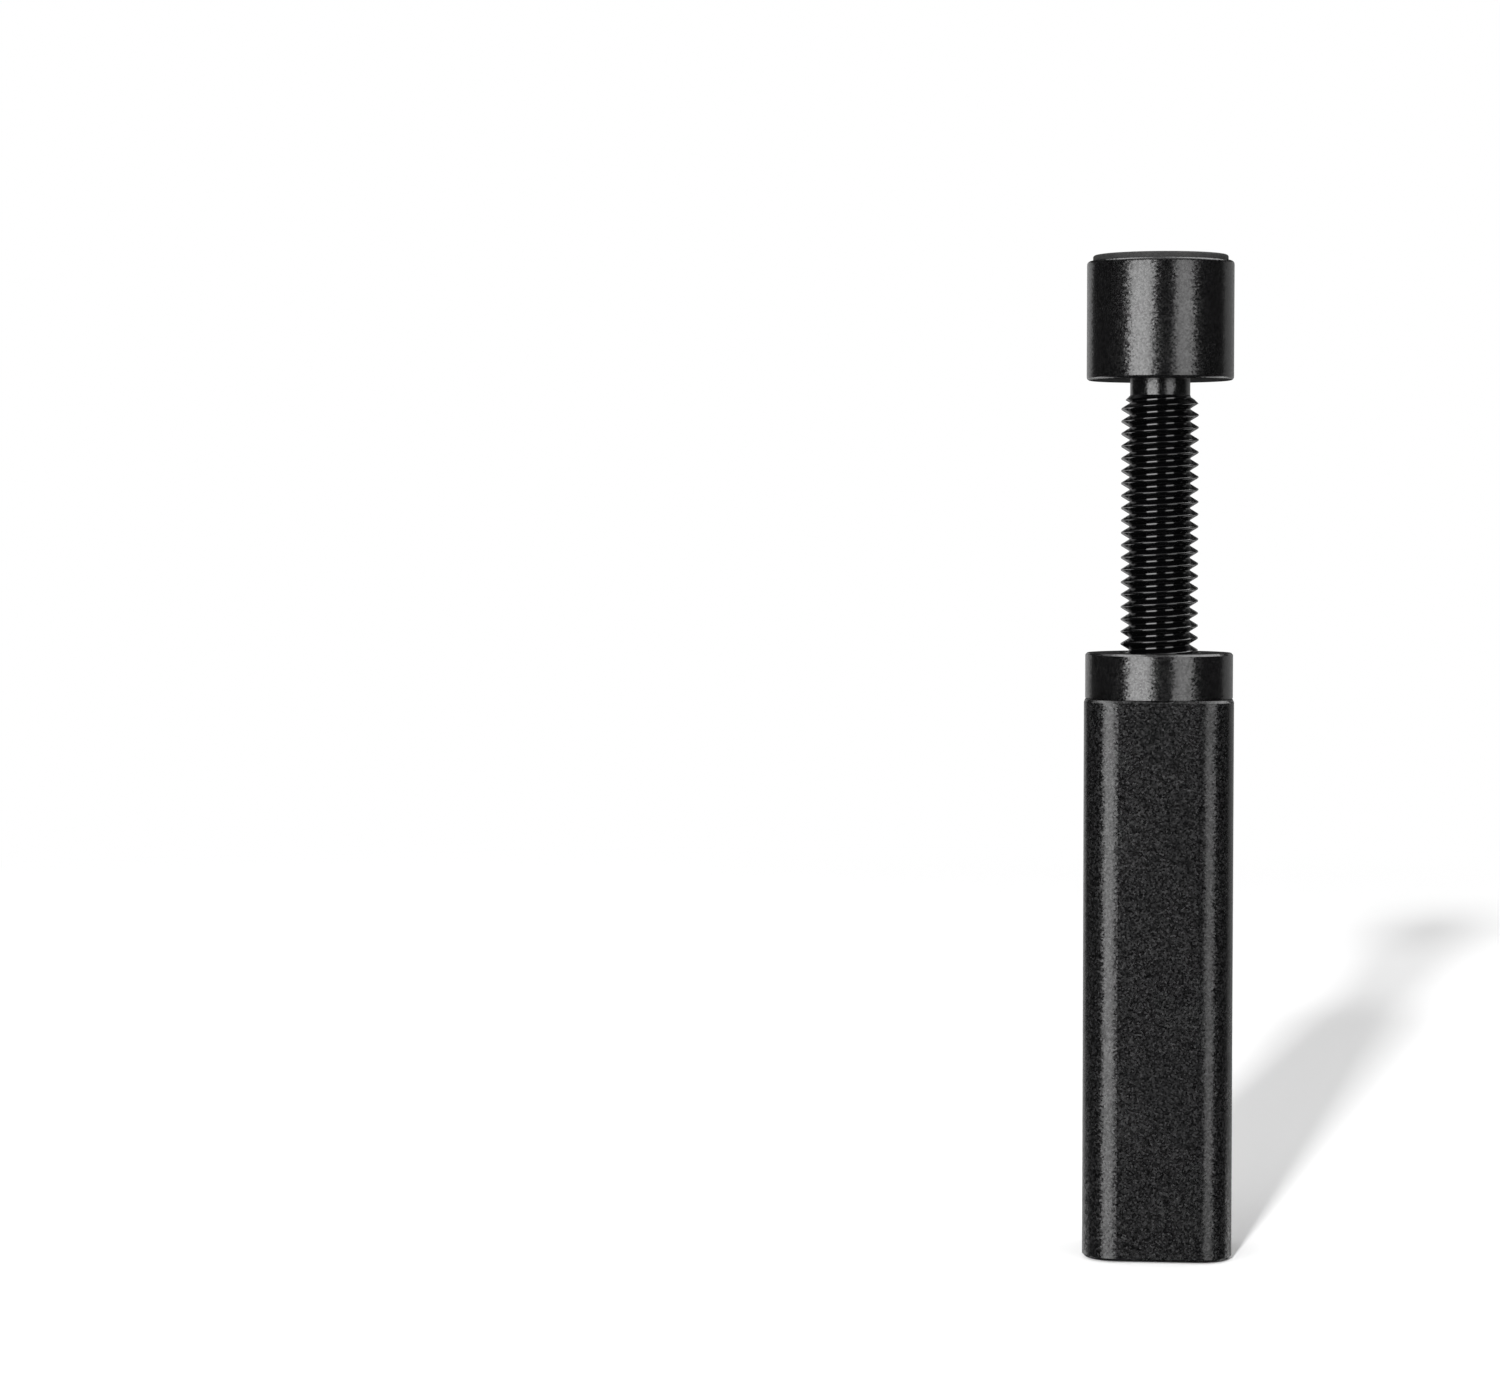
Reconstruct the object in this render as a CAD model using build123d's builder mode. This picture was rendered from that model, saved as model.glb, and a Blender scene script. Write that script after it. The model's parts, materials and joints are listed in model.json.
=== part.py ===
"""Graphics card support bracket: a small screw jack, drawn part way up.

A square body stands on a magnetic, rubber-faced base. A threaded collar is fixed in its top, and a
turned screw with a round head runs in the collar. Turning the head raises or lowers the rubber pad
on top of it.
Millimetres, +Z up, the origin on the floor at the middle of the base.
"""

from build123d import *

import os
from math import ceil, floor, pi

os.makedirs("parts", exist_ok=True)

# Square body
body_width = 15.0
body_length = 56.2
body_corner_radius = 3.5
body_edge_break = 0.25
bore_clearance = 0.6
base_floor = 2.0
base_wall = 1.7

# Threaded collar
collar_inset = 0.05
collar_height = 4.6
collar_edge_break = 0.2
spigot_wall = 1.6
spigot_length = 7.0
spigot_fit = 0.02
spigot_end_gap = 0.3
spigot_lead = 0.4

# Screw thread, right-handed, in straight chords about a millimetre long
thread_diameter = 7.8
thread_depth = 0.825
thread_pitch = 1.25
thread_fit = 0.15
thread_lead = 0.2
thread_chord = 1.2

# Lift screw
head_inset = 0.045
head_height = 12.0
head_edge_break = 0.3
neck_length = 1.5
neck_relief = 0.05
closed_gap = 0.3
closed_tip_gap = 1.9
rest_lift = 27.2

# Magnet and rubber pads
magnet_thickness = 3.0
base_pad_thickness = 1.0
base_pad_proud = 0.2
top_pad_rim = 0.55
top_pad_thickness = 1.0
top_pad_inset = 0.4
pad_edge_break = 0.15
pocket_fit = 0.05

# Heights, from the floor up
body_bottom = base_pad_proud
body_top = body_bottom + body_length
magnet_bottom = base_pad_thickness
magnet_top = magnet_bottom + magnet_thickness
bore_floor = magnet_top + base_floor
collar_top = body_top + collar_height
spigot_bottom = body_top - spigot_length
closed_head = collar_top + closed_gap
head_bottom = closed_head + rest_lift
head_top = head_bottom + head_height
neck_bottom = head_bottom - neck_length
screw_tip = bore_floor + closed_tip_gap + rest_lift
top_pad_bottom = head_top - top_pad_inset

# Radii that follow from the thread and the walls
thread_radius = thread_diameter / 2
root_radius = thread_radius - thread_depth
neck_radius = root_radius - neck_relief
nut_radius = thread_radius + thread_fit
nut_root_radius = root_radius + thread_fit
bore_radius = thread_radius + bore_clearance
spigot_radius = thread_radius + spigot_wall
collar_radius = body_width / 2 - collar_inset
head_radius = collar_radius - head_inset
base_pocket_radius = body_width / 2 - base_wall
magnet_radius = base_pocket_radius - pocket_fit
top_pocket_radius = head_radius - top_pad_rim
top_pad_radius = top_pocket_radius - pocket_fit

# One chord of the thread's helix
chords_per_turn = round(2 * pi * thread_radius / thread_chord)
chord_angle = 360 / chords_per_turn
chord_rise = thread_pitch / chords_per_turn


def chord_facets(start, end):
    """Two flat facets from a line of the thread's section to the same line one chord further up."""
    near = [Vector(*start), Vector(*end)]
    far = [(corner + Vector(0, 0, chord_rise)).rotate(Axis.Z, chord_angle) for corner in near]
    return [
        Face(Wire.make_polygon([near[0], far[0], near[1]])),
        Face(Wire.make_polygon([far[0], far[1], near[1]])),
    ]


def along_helix(facets, first, last):
    """The facets of one chord, repeated up the helix from one whole turn to another."""
    placed = []
    for step in range(first * chords_per_turn, last * chords_per_turn):
        place = Pos(0, 0, step * chord_rise) * Rot(0, 0, step * chord_angle)
        placed += [place * facet for facet in facets]
    return placed


def threaded_rod(crest, root, bottom, top):
    """A sharp-crested screw that runs past both heights, its crests at whole pitches above the floor."""
    first = floor(bottom / thread_pitch) - 1
    last = ceil(top / thread_pitch) + 1
    half = thread_pitch / 2
    low = (root, 0, -half)
    ridge = (crest, 0, 0)
    high = (root, 0, half)
    faces = along_helix(chord_facets(low, ridge) + chord_facets(ridge, high), first, last)
    stair = chord_facets((0, 0, -half), low)
    riser = Face(Wire.make_polygon([(0, 0, -half), low, ridge, high, (0, 0, half)]))
    for turn in (first, last):
        faces += along_helix(stair, turn, turn + 1)
        faces.append(Pos(0, 0, turn * thread_pitch) * riser)
    return Solid(Shell(faces))


# The square body: a bar with a blind bore for the screw, a seat for the collar's spigot in its top
# and a pocket for the magnet and the foot pad in its base.
with BuildPart() as body:
    with BuildSketch(Plane.XY.offset(body_bottom)):
        RectangleRounded(body_width, body_width, body_corner_radius)
    extrude(amount=body_length)
    chamfer(body.faces().sort_by(Axis.Z)[0].edges(), body_edge_break)
    chamfer(body.faces().sort_by(Axis.Z)[-1].edges(), body_edge_break)
    with Locations((0, 0, body_top)):
        Hole(bore_radius, body_top - bore_floor)
        Hole(spigot_radius + spigot_fit, spigot_length + spigot_end_gap)
    with Locations(Plane((0, 0, body_bottom), z_dir=(0, 0, -1))):
        Hole(base_pocket_radius, magnet_top - body_bottom)
body.part.label = "body_tube"
export_step(body.part, "parts/body_tube.step")

# The threaded collar: a round flange on the body's top, a spigot in its seat and the thread
# through both, countersunk at either end.
nut_thread = threaded_rod(nut_radius, nut_root_radius, spigot_bottom, collar_top)
with BuildPart() as collar:
    with BuildSketch(Plane.XZ):
        with BuildLine():
            Polyline(
                (0, spigot_bottom),
                (spigot_radius - spigot_lead, spigot_bottom),
                (spigot_radius, spigot_bottom + spigot_lead),
                (spigot_radius, body_top),
                (collar_radius - collar_edge_break, body_top),
                (collar_radius, body_top + collar_edge_break),
                (collar_radius, collar_top - collar_edge_break),
                (collar_radius - collar_edge_break, collar_top),
                (0, collar_top),
                close=True,
            )
        make_face()
    revolve(axis=Axis.Z)
    add(nut_thread, mode=Mode.SUBTRACT)
    with BuildSketch(Plane.XZ):
        with BuildLine():
            Polyline(
                (0, collar_top - thread_depth - thread_lead),
                (nut_root_radius - thread_lead, collar_top - thread_depth - thread_lead),
                (nut_radius + thread_lead, collar_top),
                (0, collar_top),
                close=True,
            )
        make_face()
        with BuildLine():
            Polyline(
                (0, spigot_bottom),
                (nut_radius + thread_lead, spigot_bottom),
                (nut_root_radius - thread_lead, spigot_bottom + thread_depth + thread_lead),
                (0, spigot_bottom + thread_depth + thread_lead),
                close=True,
            )
        make_face()
    revolve(axis=Axis.Z, mode=Mode.SUBTRACT)
collar.part.label = "threaded_collar"
export_step(collar.part, "parts/threaded_collar.step")

# The lift screw, turned in one piece: a chamfered tip, the thread, a relieved neck and the head
# with a shallow pocket for its pad.
screw_thread = threaded_rod(thread_radius, root_radius, screw_tip, head_bottom)
with BuildPart() as screw:
    with BuildSketch(Plane.XZ):
        with BuildLine():
            Polyline(
                (0, screw_tip),
                (neck_radius - thread_lead, screw_tip),
                (thread_radius + thread_lead, screw_tip + thread_depth + thread_lead),
                (thread_radius + thread_lead, neck_bottom - thread_depth - thread_lead),
                (neck_radius, neck_bottom),
                (neck_radius, head_bottom),
                (0, head_bottom),
                close=True,
            )
        make_face()
    revolve(axis=Axis.Z)
    add(screw_thread, mode=Mode.INTERSECT)
    with BuildSketch(Plane.XZ):
        with BuildLine():
            Polyline(
                (0, head_bottom),
                (head_radius - head_edge_break, head_bottom),
                (head_radius, head_bottom + head_edge_break),
                (head_radius, head_top - head_edge_break),
                (head_radius - head_edge_break, head_top),
                (top_pocket_radius, head_top),
                (top_pocket_radius, top_pad_bottom),
                (0, top_pad_bottom),
                close=True,
            )
        make_face()
    revolve(axis=Axis.Z)
screw.part.label = "lift_screw"
export_step(screw.part, "parts/lift_screw.step")

# The rubber disc in the head's pocket, which takes the load.
with BuildPart() as top_pad:
    with BuildSketch(Plane.XY.offset(top_pad_bottom)):
        Circle(top_pad_radius)
    extrude(amount=top_pad_thickness)
    chamfer(top_pad.edges().group_by(Axis.Z)[-1], pad_edge_break)
top_pad.part.label = "top_pad"
export_step(top_pad.part, "parts/top_pad.step")

# The disc magnet at the bottom of the base pocket.
with BuildPart() as magnet:
    with BuildSketch(Plane.XY.offset(magnet_bottom)):
        Circle(magnet_radius)
    extrude(amount=magnet_thickness)
    chamfer(magnet.edges(), pad_edge_break)
magnet.part.label = "base_magnet"
export_step(magnet.part, "parts/base_magnet.step")

# The rubber disc under the magnet, a little proud of the body so that the bracket stands on it.
with BuildPart() as base_pad:
    with BuildSketch(Plane.XY):
        Circle(magnet_radius)
    extrude(amount=base_pad_thickness)
    chamfer(base_pad.edges().group_by(Axis.Z)[0], pad_edge_break)
base_pad.part.label = "base_pad"
export_step(base_pad.part, "parts/base_pad.step")
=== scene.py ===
# %% [markdown]
# # A graphics card support bracket
#
# The object is a slim black screw jack. A square, bead-blasted body holds a round threaded
# collar, and a turned screw with a round head climbs out of the collar to lift the rubber pad on
# its top. The CAD solids give every size. This file gives them their finishes, closes the
# collar's lower edge, cuts a finer thread than the solids have, and moulds the rubber discs.

# %% Load the frame
import json
from math import cos, pi, radians, sin, tan

import bpy
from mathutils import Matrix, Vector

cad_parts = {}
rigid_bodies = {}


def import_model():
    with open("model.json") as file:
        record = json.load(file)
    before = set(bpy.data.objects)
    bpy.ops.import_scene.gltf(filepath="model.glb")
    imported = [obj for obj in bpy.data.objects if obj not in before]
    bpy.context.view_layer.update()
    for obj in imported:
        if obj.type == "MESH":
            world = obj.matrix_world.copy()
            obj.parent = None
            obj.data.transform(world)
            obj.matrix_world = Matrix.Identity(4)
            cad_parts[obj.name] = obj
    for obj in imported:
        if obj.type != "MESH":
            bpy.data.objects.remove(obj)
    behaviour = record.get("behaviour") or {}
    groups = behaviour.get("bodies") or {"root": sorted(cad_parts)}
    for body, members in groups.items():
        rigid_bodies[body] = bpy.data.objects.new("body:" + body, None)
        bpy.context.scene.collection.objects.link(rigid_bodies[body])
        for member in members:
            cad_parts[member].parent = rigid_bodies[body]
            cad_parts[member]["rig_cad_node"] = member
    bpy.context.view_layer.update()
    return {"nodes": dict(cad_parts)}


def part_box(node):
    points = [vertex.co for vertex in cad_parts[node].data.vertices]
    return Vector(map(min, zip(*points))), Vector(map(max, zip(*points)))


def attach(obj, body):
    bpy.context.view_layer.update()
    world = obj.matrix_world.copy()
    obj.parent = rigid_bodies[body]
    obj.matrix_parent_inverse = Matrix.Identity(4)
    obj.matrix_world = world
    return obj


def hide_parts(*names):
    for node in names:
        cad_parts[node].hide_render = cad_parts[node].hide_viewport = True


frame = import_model()
nodes = frame["nodes"]
mm = 0.001
print("nodes:", sorted(nodes))

# %% [markdown]
# ## Camera
#
# The picture was taken with a long lens from about the height of the thread, and the stand is
# right of the middle of the frame. A camera that faced the stand and was then shifted would keep
# its sides upright, but in the picture the stand leans a quarter of a degree, as things do away
# from the middle of a frame. So the camera is turned to the left and a little down, with no
# shift.

# %% Camera
image_width_px = 1500
focal_px = 3928
camera_distance = 400
camera_height = 74
turned_down = 2.432
turned_left = 5.948

camera_data = bpy.data.cameras.new("product_camera")
camera_data.sensor_fit = "HORIZONTAL"
camera_data.sensor_width = 36
camera_data.lens = focal_px * camera_data.sensor_width / image_width_px
camera = bpy.data.objects.new("product_camera", camera_data)
camera.location = (0, -camera_distance * mm, camera_height * mm)
camera.rotation_euler = (radians(90 - turned_down), 0, radians(turned_left))
bpy.context.scene.collection.objects.link(camera)
bpy.context.scene.camera = camera
bpy.context.scene.view_settings.view_transform = "Standard"
print("lens in mm:", round(camera_data.lens, 1))

# %% [markdown]
# ## Shared effects
#
# Black anodising dyes the aluminium but hides nothing: the dents that glass beads leave still
# catch the light one by one, each with its own gloss. That grain is wanted on the body, on the
# turned parts and, in a softer form, on the rubber, so it is one node group with its own size in
# each material. A second group gives the faint cloudy marks that hands leave. Groups only put out
# masks and heights.

# %% Shared effects
def new_group(name, inputs, outputs):
    """An empty shader node group with named sockets, and its input and output nodes."""
    tree = bpy.data.node_groups.new(name, "ShaderNodeTree")
    for socket, kind in inputs:
        tree.interface.new_socket(socket, in_out="INPUT", socket_type=kind)
    for socket, kind in outputs:
        tree.interface.new_socket(socket, in_out="OUTPUT", socket_type=kind)
    entry = tree.nodes.new("NodeGroupInput")
    leave = tree.nodes.new("NodeGroupOutput")
    return tree, entry, leave


def blast_grain_group():
    """Dents of glass beads, each with its own tilt and its own fleck, a value from 0 to 1."""
    tree, entry, leave = new_group(
        "blast_grain",
        [("Position", "NodeSocketVector"), ("Grains per metre", "NodeSocketFloat")],
        [("Height", "NodeSocketFloat"), ("Fleck", "NodeSocketFloat")],
    )
    link = tree.links.new
    dents = tree.nodes.new("ShaderNodeTexVoronoi")
    link(entry.outputs["Position"], dents.inputs["Vector"])
    link(entry.outputs["Grains per metre"], dents.inputs["Scale"])
    away = tree.nodes.new("ShaderNodeVectorMath")
    away.operation = "SUBTRACT"
    link(entry.outputs["Position"], away.inputs[0])
    link(dents.outputs["Position"], away.inputs[1])
    tilt = tree.nodes.new("ShaderNodeVectorMath")
    tilt.operation = "SUBTRACT"
    tilt.inputs[1].default_value = (0.5, 0.5, 0.5)
    link(dents.outputs["Color"], tilt.inputs[0])
    height = tree.nodes.new("ShaderNodeVectorMath")
    height.operation = "DOT_PRODUCT"
    link(away.outputs["Vector"], height.inputs[0])
    link(tilt.outputs["Vector"], height.inputs[1])
    link(height.outputs["Value"], leave.inputs["Height"])
    fleck = tree.nodes.new("ShaderNodeSeparateColor")
    link(dents.outputs["Color"], fleck.inputs["Color"])
    link(fleck.outputs["Green"], leave.inputs["Fleck"])
    return tree


def handling_group():
    """Faint cloudy marks, a few millimetres across, where the finish has been touched."""
    tree, entry, leave = new_group(
        "handling_marks",
        [("Position", "NodeSocketVector")],
        [("Mask", "NodeSocketFloat")],
    )
    link = tree.links.new
    cloud = tree.nodes.new("ShaderNodeTexNoise")
    cloud.inputs["Scale"].default_value = 140
    cloud.inputs["Detail"].default_value = 4
    cloud.inputs["Distortion"].default_value = 0.6
    link(entry.outputs["Position"], cloud.inputs["Vector"])
    link(ramp(tree, cloud.outputs["Fac"], 0.42, 0.68), leave.inputs["Mask"])
    return tree


def ramp(tree, value, start, end):
    """0 up to the start, 1 from the end on, and smooth between them."""
    node = tree.nodes.new("ShaderNodeMapRange")
    node.interpolation_type = "SMOOTHSTEP"
    node.inputs["From Min"].default_value = start
    node.inputs["From Max"].default_value = end
    tree.links.new(value, node.inputs["Value"])
    return node.outputs["Result"]


blast_grain = blast_grain_group()
handling_marks = handling_group()
print("groups:", [group.name for group in bpy.data.node_groups])

# %% [markdown]
# ## Finishes
#
# The dyed oxide on the aluminium is a clear, hard skin with a refractive index of about 1.76,
# over a near-black ground, so it is mostly a dark dielectric. Metallic does one thing here: with
# a near-black base colour it dims the reflection, and because each dent has its own amount of it,
# the grain can be seen inside the bright bands too. The body is blasted hard, looks speckled and
# reflects less, so its index is lower. The collar and the head are blasted lightly and look satin.
# The thread is masked while that is done and stays as smooth as it was cut, so in its material
# the grain stops near the axis, below the neck.

# %% A starting material
def new_material(name):
    """A material with one Principled shader, and a Texture Coordinate node to read places from."""
    material = bpy.data.materials.new(name)
    material.use_nodes = True
    tree = material.node_tree
    shader = tree.nodes["Principled BSDF"]
    place = tree.nodes.new("ShaderNodeTexCoord")
    return material, tree, shader, place.outputs["Object"]


def place_group(tree, group, position):
    """A node that uses a group, reading the given position."""
    node = tree.nodes.new("ShaderNodeGroup")
    node.node_tree = group
    tree.links.new(position, node.inputs["Position"])
    return node


def place_grain(tree, position, grains_per_metre):
    """The blast grain at its own size."""
    grain = place_group(tree, blast_grain, position)
    grain.inputs["Grains per metre"].default_value = grains_per_metre
    return grain


def mix_colours(tree, mask, low, high):
    """A colour that goes from low to high with the mask."""
    mix = tree.nodes.new("ShaderNodeMix")
    mix.data_type = "RGBA"
    mix.inputs["A"].default_value = (*low, 1)
    mix.inputs["B"].default_value = (*high, 1)
    tree.links.new(mask, mix.inputs["Factor"])
    return mix.outputs["Result"]


def map_range(tree, value, low, high):
    """A value from 0 to 1 stretched over another range."""
    node = tree.nodes.new("ShaderNodeMapRange")
    node.inputs["To Min"].default_value = low
    node.inputs["To Max"].default_value = high
    tree.links.new(value, node.inputs["Value"])
    return node.outputs["Result"]


def bump(tree, shader, height, distance):
    """Relief on the shader's normal. The narrow filter keeps dents smaller than a pixel."""
    node = tree.nodes.new("ShaderNodeBump")
    node.inputs["Distance"].default_value = distance
    node.inputs["Strength"].default_value = 1.0
    node.inputs["Filter Width"].default_value = 0.02
    tree.links.new(height, node.inputs["Height"])
    tree.links.new(node.outputs["Normal"], shader.inputs["Normal"])


def combine(tree, operation, first, second):
    """Two values put together by a Math node. The second may be a plain number."""
    node = tree.nodes.new("ShaderNodeMath")
    node.operation = operation
    tree.links.new(first, node.inputs[0])
    if isinstance(second, float):
        node.inputs[1].default_value = second
    else:
        tree.links.new(second, node.inputs[1])
    return node.outputs[0]


# %% Black anodising
oxide_index = 1.76
blasted_index = 1.55
blast_grains = 5800
black_dye = (0.001, 0.001, 0.0011)
beyond_thread = (4.1 * mm, 4.4 * mm)
above_thread = (86.6 * mm, 87.1 * mm)


def blasted_black():
    """Hard bead-blasted, black anodised aluminium."""
    material, tree, shader, position = new_material("blasted_black_anodise")
    grain = place_grain(tree, position, blast_grains)
    marks = place_group(tree, handling_marks, position)
    fleck = grain.outputs["Fleck"]
    sparkle = combine(tree, "POWER", fleck, 2.0)
    colour = mix_colours(tree, sparkle, black_dye, (0.009, 0.009, 0.0093))
    tree.links.new(colour, shader.inputs["Base Color"])
    tree.links.new(map_range(tree, fleck, 0.5, 0.0), shader.inputs["Metallic"])
    gloss = map_range(tree, fleck, 0.18, 0.27)
    worn = map_range(tree, marks.outputs["Mask"], 0.0, 0.03)
    tree.links.new(combine(tree, "ADD", gloss, worn), shader.inputs["Roughness"])
    shader.inputs["IOR"].default_value = blasted_index
    bump(tree, shader, grain.outputs["Height"], 0.115)
    return material


def outside_thread(tree, position):
    """A mask that is 0 on the thread, and 1 on the neck and wherever the radius is larger."""
    split = tree.nodes.new("ShaderNodeSeparateXYZ")
    tree.links.new(position, split.inputs["Vector"])
    flat = tree.nodes.new("ShaderNodeCombineXYZ")
    tree.links.new(split.outputs["X"], flat.inputs["X"])
    tree.links.new(split.outputs["Y"], flat.inputs["Y"])
    radius = tree.nodes.new("ShaderNodeVectorMath")
    radius.operation = "LENGTH"
    tree.links.new(flat.outputs["Vector"], radius.inputs[0])
    wide = ramp(tree, radius.outputs["Value"], *beyond_thread)
    high = ramp(tree, split.outputs["Z"], *above_thread)
    return combine(tree, "MAXIMUM", wide, high)


def satin_black():
    """Lightly blasted, black anodised aluminium, with a clean-cut thread."""
    material, tree, shader, position = new_material("satin_black_anodise")
    grain = place_grain(tree, position, blast_grains)
    marks = place_group(tree, handling_marks, position)
    blasted = outside_thread(tree, position)
    fleck = combine(tree, "MULTIPLY", grain.outputs["Fleck"], blasted)
    colour = mix_colours(tree, fleck, black_dye, (0.002, 0.002, 0.0021))
    tree.links.new(colour, shader.inputs["Base Color"])
    dents = map_range(tree, grain.outputs["Fleck"], 0.2, -0.2)
    dimmed = combine(tree, "ADD", combine(tree, "MULTIPLY", dents, blasted), 0.2)
    tree.links.new(dimmed, shader.inputs["Metallic"])
    worn = map_range(tree, marks.outputs["Mask"], 0.10, 0.13)
    satin = map_range(tree, blasted, 0.02, 0.07)
    uneven = map_range(tree, fleck, 0.0, 0.07)
    gloss = combine(tree, "ADD", worn, combine(tree, "ADD", satin, uneven))
    tree.links.new(gloss, shader.inputs["Roughness"])
    shader.inputs["IOR"].default_value = oxide_index
    relief = combine(tree, "MULTIPLY", grain.outputs["Height"], blasted)
    bump(tree, shader, relief, 0.09)
    return material


# %% Rubber and nickel
moulded_grains = 4500


def matt_rubber():
    """Dull black rubber with a fine moulded grain."""
    material, tree, shader, position = new_material("matt_black_rubber")
    grain = place_grain(tree, position, moulded_grains)
    marks = place_group(tree, handling_marks, position)
    colour = mix_colours(
        tree, marks.outputs["Mask"], (0.010, 0.010, 0.010), (0.016, 0.016, 0.0155)
    )
    tree.links.new(colour, shader.inputs["Base Color"])
    tree.links.new(map_range(tree, grain.outputs["Fleck"], 0.7, 0.85), shader.inputs["Roughness"])
    bump(tree, shader, grain.outputs["Height"], 0.3)
    return material


def bright_nickel():
    """Nickel plate on the magnet, slightly dulled in patches."""
    material, tree, shader, position = new_material("bright_nickel_plate")
    marks = place_group(tree, handling_marks, position)
    colour = mix_colours(tree, marks.outputs["Mask"], (0.62, 0.60, 0.56), (0.52, 0.50, 0.47))
    tree.links.new(colour, shader.inputs["Base Color"])
    tree.links.new(map_range(tree, marks.outputs["Mask"], 0.18, 0.32), shader.inputs["Roughness"])
    shader.inputs["Metallic"].default_value = 1.0
    return material


# %% Dress the nodes that stay
body_finish = blasted_black()
turned_finish = satin_black()
rubber_finish = matt_rubber()
nickel_finish = bright_nickel()
kept = {"body_tube": body_finish, "base_magnet": nickel_finish}
for node, finish in kept.items():
    nodes[node].data.materials.clear()
    nodes[node].data.materials.append(finish)
print("finishes:", {node: finish.name for node, finish in kept.items()})

# %% [markdown]
# ## Drawing and turning a section
#
# The screw is round, so each of its solids starts as a line: the outline of one half of its
# section, drawn corner by corner in edit mode, as on a lathe drawing. Corners are rounded while
# they are still single points, which is easier than rounding the edges of the finished solid.
# Then the line is spun round the Z axis.

# %% Drawing and turning a section
same_place = 1e-7
merge_distance = 0.0005 * mm


def draw_section(name, corners):
    """A line through the corners, each a radius and a height in millimetres."""
    bpy.ops.object.select_all(action="DESELECT")
    bpy.ops.mesh.primitive_plane_add(size=1 * mm)
    piece = bpy.context.object
    piece.name = name
    bpy.ops.object.mode_set(mode="EDIT")
    bpy.ops.mesh.select_all(action="SELECT")
    bpy.ops.mesh.merge(type="CENTER")
    here = (0, 0)
    for radius, height in corners:
        step = ((radius - here[0]) * mm, 0, (height - here[1]) * mm)
        if here == (0, 0):
            bpy.ops.transform.translate(value=step)
        else:
            bpy.ops.mesh.extrude_region_move(TRANSFORM_OT_translate={"value": step})
        here = (radius, height)
    bpy.ops.object.mode_set(mode="OBJECT")
    return piece


def round_corners(piece, corners, size, segments):
    """Rounds the points of a section that lie at these corners."""
    bpy.ops.object.mode_set(mode="EDIT")
    bpy.ops.mesh.select_mode(type="VERT")
    bpy.ops.mesh.select_all(action="DESELECT")
    bpy.ops.object.mode_set(mode="OBJECT")
    for radius, height in corners:
        for point in piece.data.vertices:
            off_radius = abs(point.co.x - radius * mm)
            off_height = abs(point.co.z - height * mm)
            if off_radius < same_place and off_height < same_place:
                point.select = True
    bpy.ops.object.mode_set(mode="EDIT")
    bpy.ops.mesh.bevel(affect="VERTICES", offset=size * mm, segments=segments)
    bpy.ops.object.mode_set(mode="OBJECT")


def turn_section(steps):
    """Spins the section that was drawn last round the Z axis into a closed solid."""
    bpy.ops.object.mode_set(mode="EDIT")
    bpy.ops.mesh.select_all(action="SELECT")
    bpy.ops.mesh.spin(steps=steps, angle=2 * pi, center=(0, 0, 0), axis=(0, 0, 1))
    close_mesh()
    bpy.ops.object.mode_set(mode="OBJECT")


def close_mesh():
    """In edit mode: merges doubles, fills what is open and turns the faces outwards."""
    bpy.ops.mesh.select_all(action="SELECT")
    bpy.ops.mesh.remove_doubles(threshold=merge_distance)
    bpy.ops.mesh.fill_holes(sides=0)
    bpy.ops.mesh.select_all(action="SELECT")
    bpy.ops.mesh.normals_make_consistent(inside=False)


def pick(piece):
    """Makes this piece the active one, and the only one selected."""
    bpy.ops.object.select_all(action="DESELECT")
    piece.select_set(True)
    bpy.context.view_layer.objects.active = piece


def apply_modifier(piece, kind, **settings):
    """Adds a modifier with these settings and applies it."""
    pick(piece)
    modifier = piece.modifiers.new(kind.lower(), kind)
    for setting, value in settings.items():
        setattr(modifier, setting, value)
    bpy.ops.object.modifier_apply(modifier=modifier.name)


def smooth(piece, angle):
    """Smooth shading, with edges sharper than the angle left crisp."""
    pick(piece)
    bpy.ops.object.shade_smooth_by_angle(angle=radians(angle))


# %% [markdown]
# ## Collar
#
# The solid breaks both edges of the collar alike, which would show as a dark groove above the
# body. In the picture only the upper edge is broken, and the lower one meets the body with hardly
# a line. So a copy of the solid is merged into one mesh, and the ring of points at the top of its
# lower bevel is pulled down until it is close to the body.

# %% Collar
lower_bevel = 0.2
lower_gap = 0.03
rim_share = 0.99
body_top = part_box("body_tube")[1].z
collar_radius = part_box("threaded_collar")[1].x

pick(nodes["threaded_collar"])
bpy.ops.object.duplicate()
collar = bpy.context.object
collar.name = "collar_turned"
del collar["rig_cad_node"]
bpy.ops.mesh.customdata_custom_splitnormals_clear()
bpy.ops.object.mode_set(mode="EDIT")
bpy.ops.mesh.select_mode(type="VERT")
bpy.ops.mesh.select_all(action="SELECT")
bpy.ops.mesh.remove_doubles(threshold=merge_distance)
bpy.ops.mesh.select_all(action="DESELECT")
bpy.ops.object.mode_set(mode="OBJECT")
for point in collar.data.vertices:
    at_bevel = abs(point.co.z - body_top - lower_bevel * mm) < 1e-6
    point.select = at_bevel and point.co.xy.length > rim_share * collar_radius
moved = sum(point.select for point in collar.data.vertices)
bpy.ops.object.mode_set(mode="EDIT")
bpy.ops.transform.translate(value=(0, 0, (lower_gap - lower_bevel) * mm))
bpy.ops.object.mode_set(mode="OBJECT")
smooth(collar, 30)
collar.data.materials.clear()
collar.data.materials.append(turned_finish)
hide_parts("threaded_collar")
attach(collar, "base")
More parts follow.
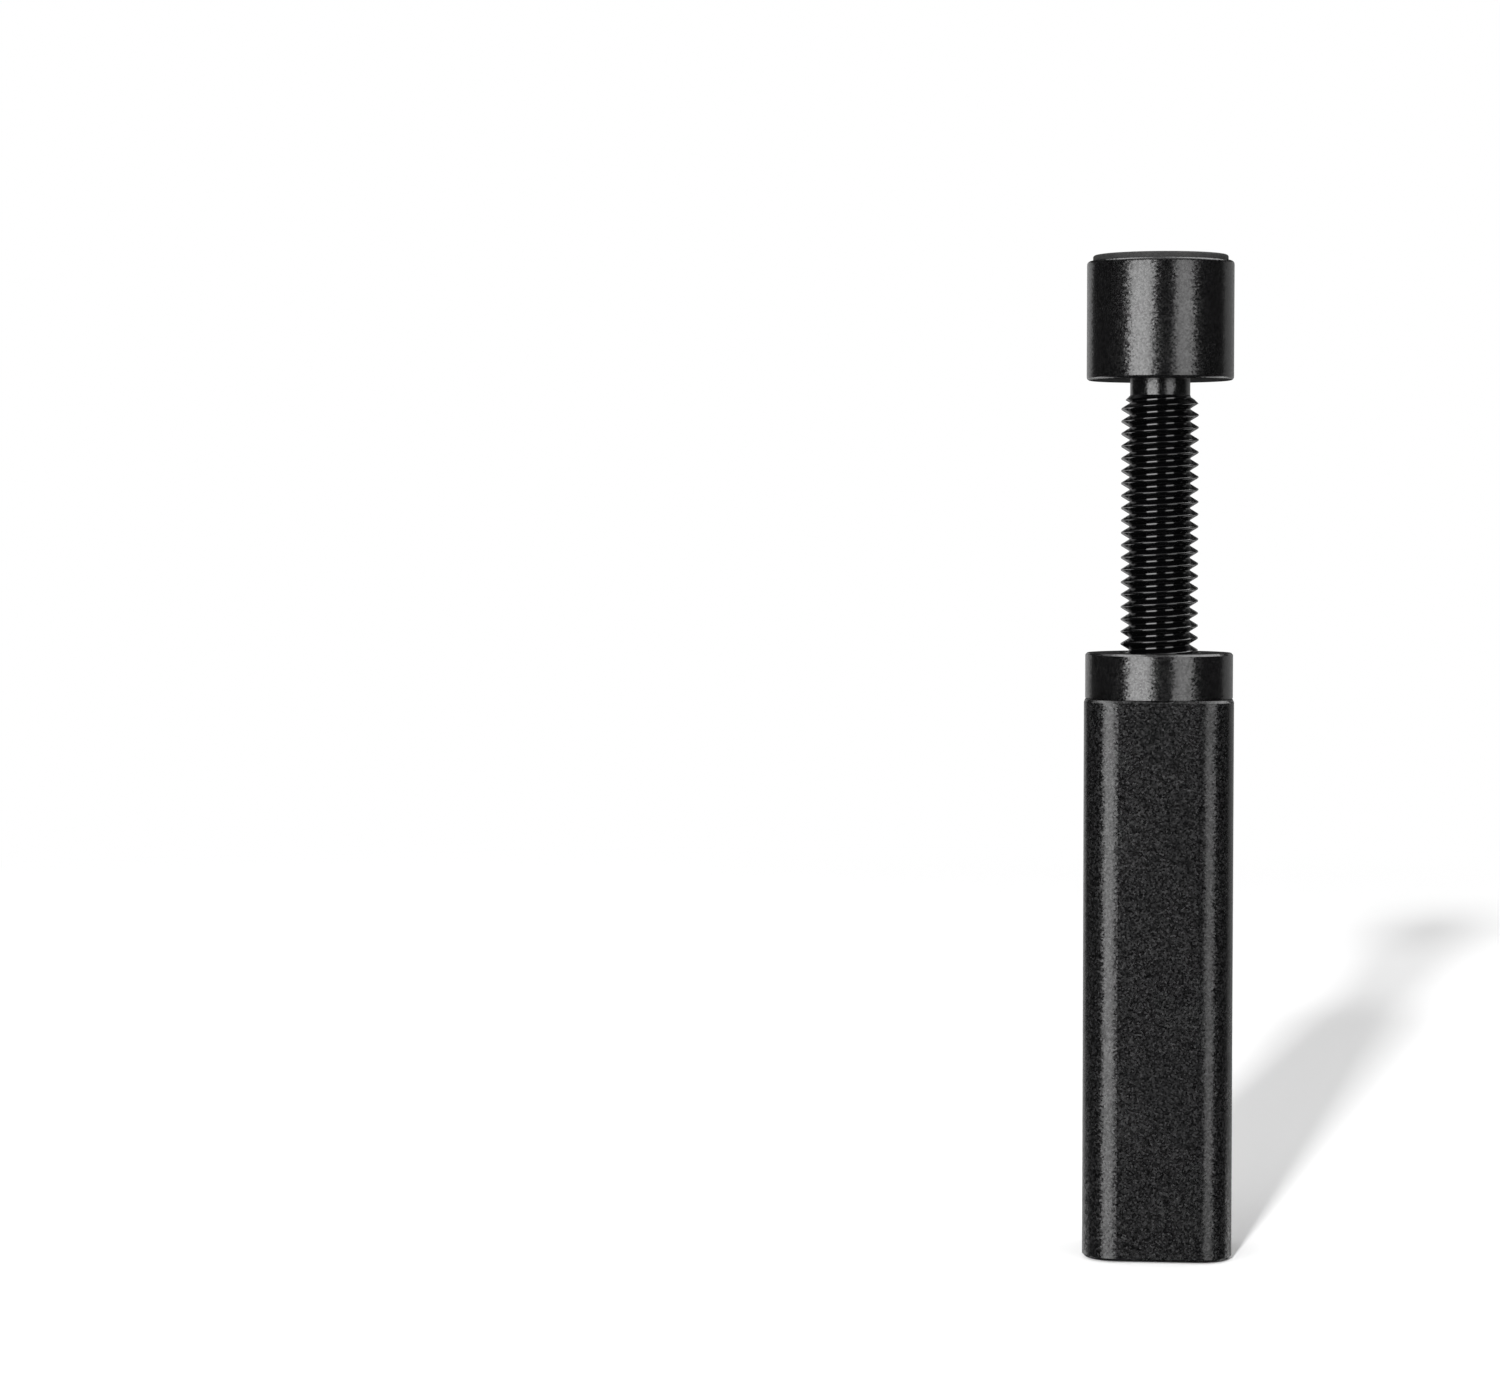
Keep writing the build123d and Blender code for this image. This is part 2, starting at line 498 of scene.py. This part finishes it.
print("collar:", moved, "points moved, mm:", [round(d / mm, 2) for d in collar.dimensions])

# %% [markdown]
# ## Lift screw
#
# The screw is turned from one bar: a head, a relieved neck and a thread with a pitch of 1.25 mm.
# The solid's thread is made of straight chords. Close to, a real one has a smooth helix with
# small flats on its crests and in its roots, and the flats are what the light catches. Here one
# tooth is drawn, repeated up the screw and swept through a single turn that climbs by one pitch.
# Each tooth then ends where the next one starts, so merging the seam gives one endless helix.

# %% Thread
pitch = 1.25
crest = 3.9
root = 3.075
crest_flat = 0.13
root_flat = 0.12
crest_rounding = 0.045
head_height = 12.0
neck_length = 1.5
screw_low, screw_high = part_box("lift_screw")
tip = screw_low.z / mm
head_top = screw_high.z / mm
head_bottom = head_top - head_height
neck_bottom = head_bottom - neck_length
first_tooth = int(tip / pitch) - 1
teeth = int(head_bottom / pitch) + 2 - first_tooth
tooth = first_tooth * pitch
tooth_bottom = tooth - pitch / 2
tooth_top = tooth + pitch / 2

crest_edges = [(crest, tooth - crest_flat / 2), (crest, tooth + crest_flat / 2)]
thread = draw_section(
    "lift_screw_turned",
    [
        (root, tooth_bottom),
        (root, tooth_bottom + root_flat / 2),
        *crest_edges,
        (root, tooth_top - root_flat / 2),
        (root, tooth_top),
    ],
)
round_corners(thread, crest_edges, crest_rounding, 2)
apply_modifier(
    thread,
    "ARRAY",
    count=teeth,
    use_relative_offset=False,
    use_constant_offset=True,
    constant_offset_displace=(0, 0, pitch * mm),
    use_merge_vertices=True,
    merge_threshold=0.001 * mm,
)
print("teeth:", teeth, "points in the section:", len(thread.data.vertices))

# %% Sweep the thread
turn_steps = 72

bpy.ops.object.mode_set(mode="EDIT")
bpy.ops.mesh.select_mode(type="VERT")
for end in (tooth_bottom, tooth_bottom + teeth * pitch):
    bpy.ops.mesh.select_all(action="DESELECT")
    bpy.ops.object.mode_set(mode="OBJECT")
    for point in thread.data.vertices:
        point.select = abs(point.co.z - end * mm) < same_place
    bpy.ops.object.mode_set(mode="EDIT")
    bpy.ops.mesh.extrude_region_move(TRANSFORM_OT_translate={"value": (-root * mm, 0, 0)})
bpy.ops.object.mode_set(mode="OBJECT")
apply_modifier(
    thread,
    "SCREW",
    angle=2 * pi,
    screw_offset=pitch * mm,
    iterations=1,
    steps=turn_steps,
    render_steps=turn_steps,
    use_merge_vertices=False,
)
bpy.ops.object.mode_set(mode="EDIT")
close_mesh()
bpy.ops.object.mode_set(mode="OBJECT")
print("thread faces:", len(thread.data.polygons))

# %% [markdown]
# The swept helix runs on past both ends. A bar is turned with the screw's chamfered tip, its
# outside and its neck, and what the two solids share is the shank, so the thread runs out at the
# neck as a cut one does. The head is turned on its own and joined on. Cutting and joining leave
# slivers with no area, which are dissolved.

# %% Shank
neck = root - 0.05
lead = 0.2
chamfer = crest - neck + lead
overlap = 1
bar = draw_section(
    "screw_bar",
    [
        (0, tip),
        (neck - lead, tip),
        (crest + lead, tip + chamfer + lead),
        (crest + lead, neck_bottom - chamfer),
        (neck, neck_bottom),
        (neck, head_bottom + overlap),
        (0, head_bottom + overlap),
    ],
)
turn_section(turn_steps)
apply_modifier(thread, "BOOLEAN", operation="INTERSECT", object=bar, solver="MANIFOLD")
bpy.data.objects.remove(bar)
print("shank faces:", len(thread.data.polygons))

# %% Head
head_radius = screw_high.x / mm
head_rounding = 0.35
rim_radius = head_radius - 0.55
rim_rounding = 0.08
pocket_floor = head_top - 0.4
head_steps = 144
sliver = 0.001 * mm

head_edges = [(head_radius, head_bottom), (head_radius, head_top)]
rim_edge = (rim_radius, head_top)
head = draw_section(
    "screw_head",
    [(0, head_bottom), *head_edges, rim_edge, (rim_radius, pocket_floor), (0, pocket_floor)],
)
round_corners(head, head_edges, head_rounding, 4)
round_corners(head, [rim_edge], rim_rounding, 2)
turn_section(head_steps)
apply_modifier(thread, "BOOLEAN", operation="UNION", object=head, solver="MANIFOLD")
bpy.data.objects.remove(head)
screw = thread
bpy.ops.object.mode_set(mode="EDIT")
bpy.ops.mesh.select_all(action="SELECT")
bpy.ops.mesh.dissolve_degenerate(threshold=sliver)
close_mesh()
bpy.ops.object.mode_set(mode="OBJECT")
smooth(screw, 35)
screw.data.materials.clear()
screw.data.materials.append(turned_finish)
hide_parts("lift_screw")
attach(screw, "screw")
screw_size = [round(d / mm, 2) for d in screw.dimensions]
print("screw:", len(screw.data.polygons), "faces, mm:", screw_size)

# %% [markdown]
# ## Rubber discs
#
# A thin rubber disc sits in the head's pocket and another under the magnet. They are moulded, so
# their open edge is rounded. Each starts as a short cylinder. Its face is inset three times, so
# that it is made of rings that keep the shading even, and then the edge is rounded.

# %% Rubber discs
disc_sides = 128
disc_rounding = 0.22
ring_widths = (0.3, 0.7, 1.2)


def rubber_disc(node, name, facing):
    """A moulded disc in the place of a CAD one, its rounded face up for 1 or down for -1."""
    low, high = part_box(node)
    radius = (high.x - low.x) / 2
    middle = (low.z + high.z) / 2
    bpy.ops.object.select_all(action="DESELECT")
    bpy.ops.mesh.primitive_cylinder_add(
        vertices=disc_sides, radius=radius, depth=high.z - low.z, location=(0, 0, middle)
    )
    disc = bpy.context.object
    disc.name = name
    bpy.ops.object.transform_apply(location=True, rotation=True, scale=True)
    face_height = high.z if facing > 0 else low.z
    for width in ring_widths:
        for face in disc.data.polygons:
            at_face = abs(face.center.z - face_height) < same_place
            face.select = at_face and len(face.vertices) > 4
        bpy.ops.object.mode_set(mode="EDIT")
        bpy.ops.mesh.select_mode(type="FACE")
        bpy.ops.mesh.inset(thickness=width * mm)
        bpy.ops.object.mode_set(mode="OBJECT")
    bpy.ops.object.mode_set(mode="EDIT")
    bpy.ops.mesh.select_mode(type="EDGE")
    bpy.ops.mesh.select_all(action="DESELECT")
    bpy.ops.object.mode_set(mode="OBJECT")
    points = disc.data.vertices
    for edge in disc.data.edges:
        ends = [points[i].co for i in edge.vertices]
        at_face = all(abs(end.z - face_height) < same_place for end in ends)
        edge.select = at_face and all(abs(end.xy.length - radius) < 1e-6 for end in ends)
    bpy.ops.object.mode_set(mode="EDIT")
    bpy.ops.mesh.bevel(offset=disc_rounding * mm, segments=4, affect="EDGES")
    bpy.ops.object.mode_set(mode="OBJECT")
    smooth(disc, 40)
    disc.data.materials.append(rubber_finish)
    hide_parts(node)
    print(name, [round(d / mm, 2) for d in disc.dimensions])
    return disc


top_disc = rubber_disc("top_pad", "top_disc", 1)
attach(top_disc, "pad")
foot_disc = rubber_disc("base_pad", "foot_disc", -1)
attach(foot_disc, "base")

# %% [markdown]
# ## Studio
#
# A black object is drawn by what it reflects. Two tall softboxes stand in front, left and right
# of the camera, and give the two bright bands down the round parts and the stripes on the body's
# corners. Two weaker ones behind draw its edges, two high ones put a light line along the top
# edges, and two low ones are there for the views from the sides and the back. The high ones are
# seen only in reflections, so they throw no shadow. Dark screens all round, out of the camera's
# sight, keep the rest of the white room off it, as flags do in a studio. A small lamp at the
# front left throws the shadow back to the right. It and the floor are kept out of the mirror
# reflections, because every black face would otherwise show a bright spot or a white wedge at its
# foot. The floor casts no shadow, so that the low softboxes can shine through it.

# %% Floor
floor_size = 12
fade_start = 0.33
fade_end = 0.5


def white_floor():
    """A white floor that takes the shadow and, further off, fades into the white room."""
    material, tree, shader, position = new_material("white_floor")
    shader.inputs["Base Color"].default_value = (0.9, 0.9, 0.9, 1)
    shader.inputs["Roughness"].default_value = 0.6
    shader.inputs["Emission Color"].default_value = (1, 1, 1, 1)
    shader.inputs["Emission Strength"].default_value = 0.05
    distance = tree.nodes.new("ShaderNodeVectorMath")
    distance.operation = "LENGTH"
    tree.links.new(position, distance.inputs[0])
    room = tree.nodes.new("ShaderNodeEmission")
    mix = tree.nodes.new("ShaderNodeMixShader")
    output = tree.nodes["Material Output"]
    fade = ramp(tree, distance.outputs["Value"], fade_start, fade_end)
    tree.links.new(fade, mix.inputs["Fac"])
    tree.links.new(shader.outputs["BSDF"], mix.inputs[1])
    tree.links.new(room.outputs["Emission"], mix.inputs[2])
    tree.links.new(mix.outputs["Shader"], output.inputs["Surface"])
    return material


bpy.ops.object.select_all(action="DESELECT")
bpy.ops.mesh.primitive_plane_add(size=floor_size)
floor = bpy.context.object
floor.name = "white_floor"
floor.data.materials.append(white_floor())
floor.visible_glossy = False
floor.visible_shadow = False
print("floor:", floor.dimensions[:2])

# %% Room and dark screens
screen_radius = 6.4
screen_depth = 10.0
screen_middle = 0.8

world = bpy.data.worlds.new("white_room")
bpy.context.scene.world = world
world.use_nodes = True
background = world.node_tree.nodes["Background"]
background.inputs["Color"].default_value = (1, 1, 1, 1)
background.inputs["Strength"].default_value = 1.0

screen_cloth = bpy.data.materials.new("screen_cloth")
screen_cloth.use_nodes = True
screen_shader = screen_cloth.node_tree.nodes["Principled BSDF"]
screen_shader.inputs["Base Color"].default_value = (0.03, 0.03, 0.03, 1)
screen_shader.inputs["Roughness"].default_value = 1.0

bpy.ops.object.select_all(action="DESELECT")
bpy.ops.mesh.primitive_cylinder_add(
    vertices=96, radius=screen_radius, depth=screen_depth, location=(0, 0, screen_middle)
)
screens = bpy.context.object
bpy.ops.object.mode_set(mode="EDIT")
bpy.ops.mesh.select_all(action="DESELECT")
bpy.ops.object.mode_set(mode="OBJECT")
for face in screens.data.polygons:
    face.select = face.normal.z > 0.9
bpy.ops.object.mode_set(mode="EDIT")
bpy.ops.mesh.select_mode(type="FACE")
bpy.ops.mesh.delete(type="FACE")
bpy.ops.object.mode_set(mode="OBJECT")
screens.name = "dark_screens"
screens.data.materials.append(screen_cloth)
screens.visible_camera = False
print("screens:", screens.dimensions[:])

# %% Softboxes
aim_height = 0.07


def softbox(name, bearing, spread, radiance, lift=-4, rise=40, distance=0.9):
    """A soft light aimed at the stand. Its place and its size are angles, as seen from there."""
    width = 2 * distance * tan(radians(spread / 2))
    height = 2 * distance * tan(radians(rise / 2))
    light = bpy.data.lights.new(name, "AREA")
    light.shape = "RECTANGLE"
    light.size = width
    light.size_y = height
    light.energy = radiance * pi * width * height
    lamp = bpy.data.objects.new(name, light)
    lamp.location = (
        distance * cos(radians(lift)) * sin(radians(bearing)),
        -distance * cos(radians(lift)) * cos(radians(bearing)),
        aim_height + distance * sin(radians(lift)),
    )
    lamp.rotation_euler = (radians(90 - lift), 0, radians(bearing))
    lamp.visible_camera = False
    bpy.context.scene.collection.objects.link(lamp)
    print(name, "is", round(width, 2), "by", round(height, 2), "m,", round(light.energy, 2), "W")
    return lamp


softbox("front_left_softbox", bearing=-30.5, spread=39, radiance=5.2, lift=2, rise=44)
softbox("front_right_softbox", bearing=38.5, spread=30, radiance=2.6, lift=2, rise=44)
softbox("back_left_softbox", bearing=-152, spread=36, radiance=0.57)
softbox("back_right_softbox", bearing=144, spread=52, radiance=0.34)
edge_lights = [
    softbox("high_left_softbox", bearing=-113, spread=36, radiance=3.2, lift=66, rise=26),
    softbox("high_right_softbox", bearing=120, spread=44, radiance=2.6, lift=56, rise=44),
]
for lamp in edge_lights:
    lamp.visible_diffuse = False
softbox("low_left_softbox", bearing=-127, spread=32, radiance=2.1, lift=-33, rise=34)
softbox("low_right_softbox", bearing=127, spread=32, radiance=2.1, lift=-33, rise=34)
shadow_lamp = softbox(
    "shadow_lamp", bearing=-8.7, spread=3, radiance=2350, lift=16.3, rise=3, distance=5
)
shadow_lamp.visible_glossy = False
